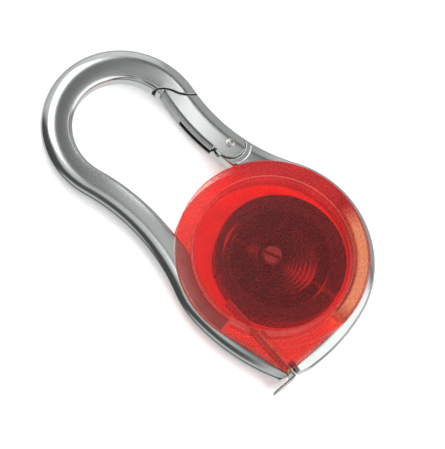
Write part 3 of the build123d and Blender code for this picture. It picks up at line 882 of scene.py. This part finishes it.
def make_leaf():
    """Gate's leaf spring."""
    root, bend, tip = (Vector(p) for p in LEAF_LINE)
    steps = 12
    line = [root.lerp(bend, k / steps) for k in range(steps)]
    line += [bend.lerp(tip, k / steps) for k in range(steps)] + [tip]
    piece = finished(ribbon("gate_leaf", line, LEAF_THICK, LEAF_WIDE), spring_steel)
    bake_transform(piece)
    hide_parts("gate_spring")


# ---------------------------------------------------------------- materials of the CAD nodes
PAINT = {
    "hook_frame": satin, "gate_arm": satin, "gate": satin, "gate_insert": strip_metal,
    "gate_pin": steel, "gate_spring": spring_steel, "front_cover": front_red,
    "rear_cover": rear_red, "tape_coil": coated, "mainspring": spring_steel,
    "mainspring_inner_turns": spring_steel, "coil_rivet": brass, "tape_blade": coated,
    "end_hook": steel, "hook_rivets": brass, "mouth_guide": dark_plastic,
}


def paint_nodes():
    """Give each CAD node its material."""
    for name, mat in PAINT.items():
        mesh = nodes[name].data
        mesh.materials.clear()
        mesh.materials.append(mat)


# ---------------------------------------------------------------- floor and light
# The studio as the object sees it. Each panel: span to the right, span away from the camera, span
# of height, softness of its edges, and brightness. A span that is None is not limited.
PANELS = (
    ((-0.62, -0.21), (0.02, 0.62), (0, 2), 0.08, 2.8),
    ((-0.34, -0.10), (0.00, 0.18), (0, 2), 0.06, 1.1),
    ((-2, 0.00), (0.66, 2), (0, 2), 0.06, 0.9),
    ((0.00, 2), (0.60, 2), (0, 2), 0.06, 0.5),
    ((-2, -0.62), (0.05, 2), (0, 2), 0.08, 0.75),
    ((-0.45, 0.00), (-0.28, 0.04), (0, 2), 0.08, 0.75),
    ((0.03, 0.16), (-0.95, -0.20), (0, 2), 0.04, 0.9),
    ((0.30, 2), (-0.60, 0.50), (0, 2), 0.08, 1.5),
    (None, (-2, -0.76), (0, 0.6), 0.06, 0.65),
    (None, None, (-2, -0.38), 0.10, 0.85),
    (None, (0.0, 2), (-2, 0), 0.10, 0.55),
)
# Brightness of the room between the panels, and how much more diffuse light the room gives
ROOM, FILL = 0.09, 2.6


def make_floor():
    """White floor just under the object, which shows its contact shadow."""
    bpy.ops.mesh.primitive_plane_add(size=6, location=(0, 0, -0.02 * MM))
    floor = bpy.context.object
    floor.name = "floor"
    floor.visible_glossy = False
    white = grained(
        "white_floor", (0.90, 0.90, 0.90), (0.92, 0.92, 0.92), 400, (0.7, 0.8), 0.0,
        Emission_Color=(1, 1, 1, 1), Emission_Strength=0.18,
    )
    floor.data.materials.append(white)


def softbox(name, right, away, height, level):
    """Level rectangular light over the object, between two places to the right and two away."""
    light = bpy.data.lights.new(name, "AREA")
    light.shape = "RECTANGLE"
    light.size = right[1] - right[0]
    light.size_y = away[1] - away[0]
    light.energy = level * math.pi * light.size * light.size_y
    lamp = bpy.data.objects.new(name, light)
    bpy.context.scene.collection.objects.link(lamp)
    middle = RIGHT * (sum(right) / 2) + AWAY * (sum(away) / 2) + Vector((0, 0, height))
    turn = Matrix((RIGHT, AWAY, (0, 0, 1))).transposed()
    lamp.matrix_world = Matrix.Translation(middle) @ turn.to_4x4()
    lamp.visible_camera = False


def window(tree, value, low, high, soft):
    """One between two values and zero beyond them, with soft edges."""
    share = 1.0
    for edge, way in ((low, 1), (high, -1)):
        step = node(tree, "MapRange", {
            "Value": value, "From Min": edge - way * soft, "From Max": edge + way * soft,
        }, interpolation_type="SMOOTHSTEP").outputs[0]
        share = times(tree, step, share)
    return share


def make_world():
    """Studio room as the object sees it: dim walls, pale ground, and soft panels."""
    world = bpy.data.worlds.new("studio")
    bpy.context.scene.world = world
    world.use_nodes = True
    tree = world.node_tree
    where = node(tree, "TexCoord").outputs["Generated"]
    right, away = (vector_calc(tree, "DOT_PRODUCT", "Value", where, v) for v in (RIGHT, AWAY))
    up = node(tree, "SeparateXYZ", {"Vector": where}).outputs["Z"]
    total = ROOM
    for across, deep_shade, high, soft, level in PANELS:
        lit = level
        for value, span in ((right, across), (away, deep_shade), (up, high)):
            if span:
                lit = times(tree, window(tree, value, *span, soft), lit)
        total = calc(tree, "MAXIMUM", total, lit)
    diffuse = node(tree, "LightPath").outputs["Is Diffuse Ray"]
    fill = node(tree, "MapRange", {"Value": diffuse, "To Min": 1.0, "To Max": FILL}).outputs[0]
    tree.links.new(times(tree, total, fill), tree.nodes["Background"].inputs["Color"])


# ---------------------------------------------------------------- build
make_camera()
make_castings()
make_rivet()
make_windings()
make_loose_turns()
make_blade()
make_leaf()
paint_nodes()
make_floor()
make_world()
softbox("near_panel", right=(-0.045, -0.029), away=(0.110, 0.170), height=0.25, level=2.9)
softbox("low_panel", right=(-0.052, -0.012), away=(0.045, 0.104), height=0.25, level=0.6)
bpy.context.scene.view_settings.view_transform = "Standard"
